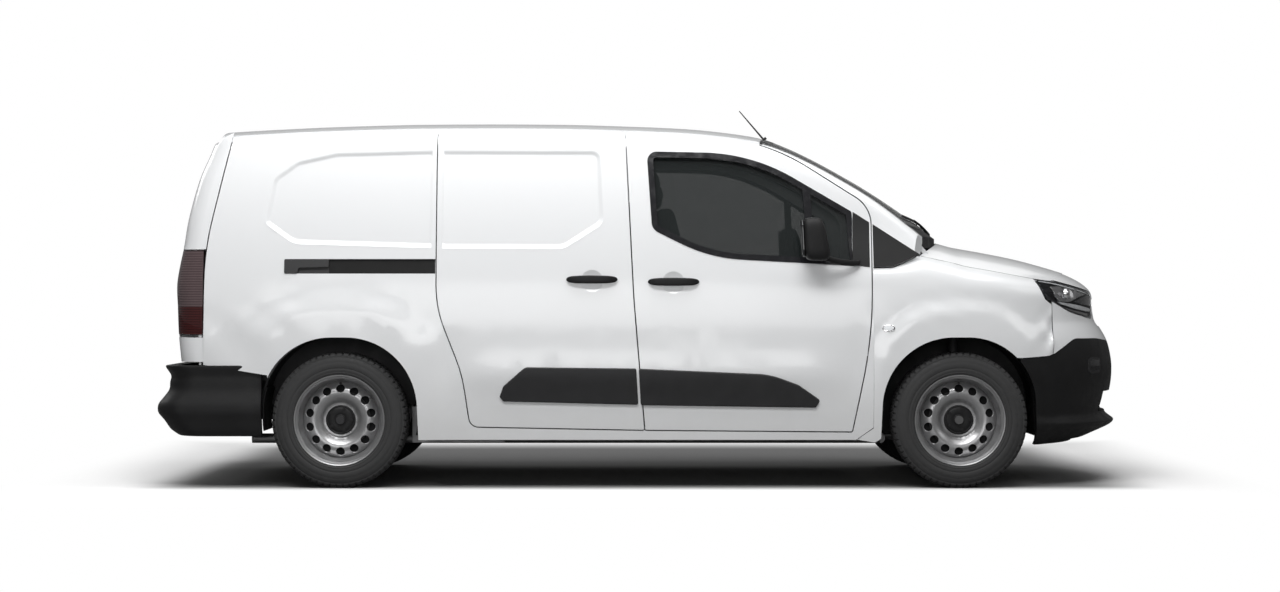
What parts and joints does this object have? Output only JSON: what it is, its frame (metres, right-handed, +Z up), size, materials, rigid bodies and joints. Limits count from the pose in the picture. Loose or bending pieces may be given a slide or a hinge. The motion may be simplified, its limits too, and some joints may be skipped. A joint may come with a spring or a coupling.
{
  "type": "panel van",
  "caption": "Compact long-wheelbase panel van with opening front doors, twin rear doors, lifting bonnet, steered front wheels and a closed load space.",
  "frame": {"origin": "on the ground at mid length and mid width, under the middle of the bounding box", "axes": "+X forward along the length, +Y to the van's left, +Z up"},
  "size_m": [4.7514, 2.1, 1.873],
  "materials": {
    "white_paint": "gloss white paint",
    "black_plastic": "grained unpainted plastic",
    "gloss_black": "gloss black",
    "dark_glass": "tinted safety glass",
    "clear_lens": "clear polycarbonate",
    "red_lens": "red lens",
    "tyre_rubber": "black rubber",
    "silver_steel": "silver painted steel",
    "seat_cloth": "dark woven cloth",
    "cab_plastic": "grained interior plastic",
    "under_steel": "black chassis paint",
    "cast_metal": "cast iron",
    "engine_metal": "cast aluminium",
    "exhaust_steel": "stainless steel",
    "rail_grey": "dark grey"
  },
  "bodies": {
    "root": {"body_side_right": "white_paint", "body_side_left": "white_paint", "sliding_door": "white_paint", "roof": "white_paint", "windscreen": "dark_glass", "wing_right": "white_paint", "wing_left": "white_paint", "bumper_front": "black_plastic", "front_panel": "white_paint", "headlamps": "clear_lens", "grille": "black_plastic", "cowl": "black_plastic", "tail_lamps": "red_lens", "rear_corners": "white_paint", "bumper_rear": "black_plastic", "floor_pan": "under_steel", "arch_liners": "black_plastic", "bulkhead": "cab_plastic", "dashboard": "cab_plastic", "steering_wheel": "cab_plastic", "seat_pads": "seat_cloth", "seat_bases": "cab_plastic", "side_trim_right": "black_plastic", "slide_rail": "rail_grey", "pillar_covers": "black_plastic", "antenna": "black_plastic", "front_subframe": "under_steel", "engine_block": "engine_metal", "front_suspension": "under_steel", "rear_axle": "under_steel", "fuel_tank": "black_plastic", "exhaust": "exhaust_steel"},
    "door_front_right": {"door_front_right": "white_paint", "glass_front_right": "dark_glass", "window_frame_right": "gloss_black", "door_trim_right": "black_plastic", "mirror_right": "black_plastic"},
    "door_front_left": {"door_front_left": "white_paint", "glass_front_left": "dark_glass", "window_frame_left": "gloss_black", "door_trim_left": "black_plastic", "mirror_left": "black_plastic"},
    "bonnet": {"bonnet": "white_paint"},
    "rear_door_left": {"rear_door_left": "white_paint"},
    "rear_door_right": {"rear_door_right": "white_paint"},
    "knuckle_right": {"knuckle_right": "cast_metal"},
    "knuckle_left": {"knuckle_left": "cast_metal"},
    "wheel_front_right": {"tyre_front_right": "tyre_rubber", "wheel_front_right": "silver_steel"},
    "wheel_front_left": {"tyre_front_left": "tyre_rubber", "wheel_front_left": "silver_steel"},
    "wheel_rear_right": {"tyre_rear_right": "tyre_rubber", "wheel_rear_right": "silver_steel"},
    "wheel_rear_left": {"tyre_rear_left": "tyre_rubber", "wheel_rear_left": "silver_steel"}
  },
  "joints": [
    {"name": "door_front_right_hinge", "type": "hinge", "parent": "root", "child": "door_front_right", "pos_m": [1.05, -0.898, 0.755], "axis": [0, 0, 1], "range_deg": [0, 68]},
    {"name": "door_front_left_hinge", "type": "hinge", "parent": "root", "child": "door_front_left", "pos_m": [1.05, 0.898, 0.755], "axis": [0, 0, -1], "range_deg": [0, 68]},
    {"name": "rear_door_right_hinge", "type": "hinge", "parent": "root", "child": "rear_door_right", "pos_m": [-2.145, -0.858, 0.66], "axis": [0, 0, 1], "range_deg": [0, 180]},
    {"name": "rear_door_left_hinge", "type": "hinge", "parent": "root", "child": "rear_door_left", "pos_m": [-2.145, 0.858, 0.66], "axis": [0, 0, -1], "range_deg": [0, 180]},
    {"name": "bonnet_hinge", "type": "hinge", "parent": "root", "child": "bonnet", "pos_m": [1.3, 0, 1.187], "axis": [0, -1, 0], "range_deg": [0, 55]},
    {"name": "steer_left", "type": "hinge", "parent": "root", "child": "knuckle_left", "pos_m": [1.498, 0.738, 0.326], "axis": [0, 0, 1], "range_deg": [-34, 34]},
    {"name": "steer_right", "type": "hinge", "parent": "root", "child": "knuckle_right", "pos_m": [1.498, -0.738, 0.326], "axis": [0, 0, 1], "range_deg": [-34, 34]},
    {"name": "wheel_front_left_spin", "type": "hinge", "parent": "knuckle_left", "child": "wheel_front_left", "pos_m": [1.498, 0.778, 0.326], "axis": [0, 1, 0], "continuous": true},
    {"name": "wheel_front_right_spin", "type": "hinge", "parent": "knuckle_right", "child": "wheel_front_right", "pos_m": [1.498, -0.778, 0.326], "axis": [0, 1, 0], "continuous": true},
    {"name": "wheel_rear_left_spin", "type": "hinge", "parent": "root", "child": "wheel_rear_left", "pos_m": [-1.477, 0.778, 0.326], "axis": [0, 1, 0], "continuous": true},
    {"name": "wheel_rear_right_spin", "type": "hinge", "parent": "root", "child": "wheel_rear_right", "pos_m": [-1.477, -0.778, 0.326], "axis": [0, 1, 0], "continuous": true}
  ],
  "couplings": [
    {"joint": "steer_right", "follows": "steer_left", "ratio": 1}
  ]
}
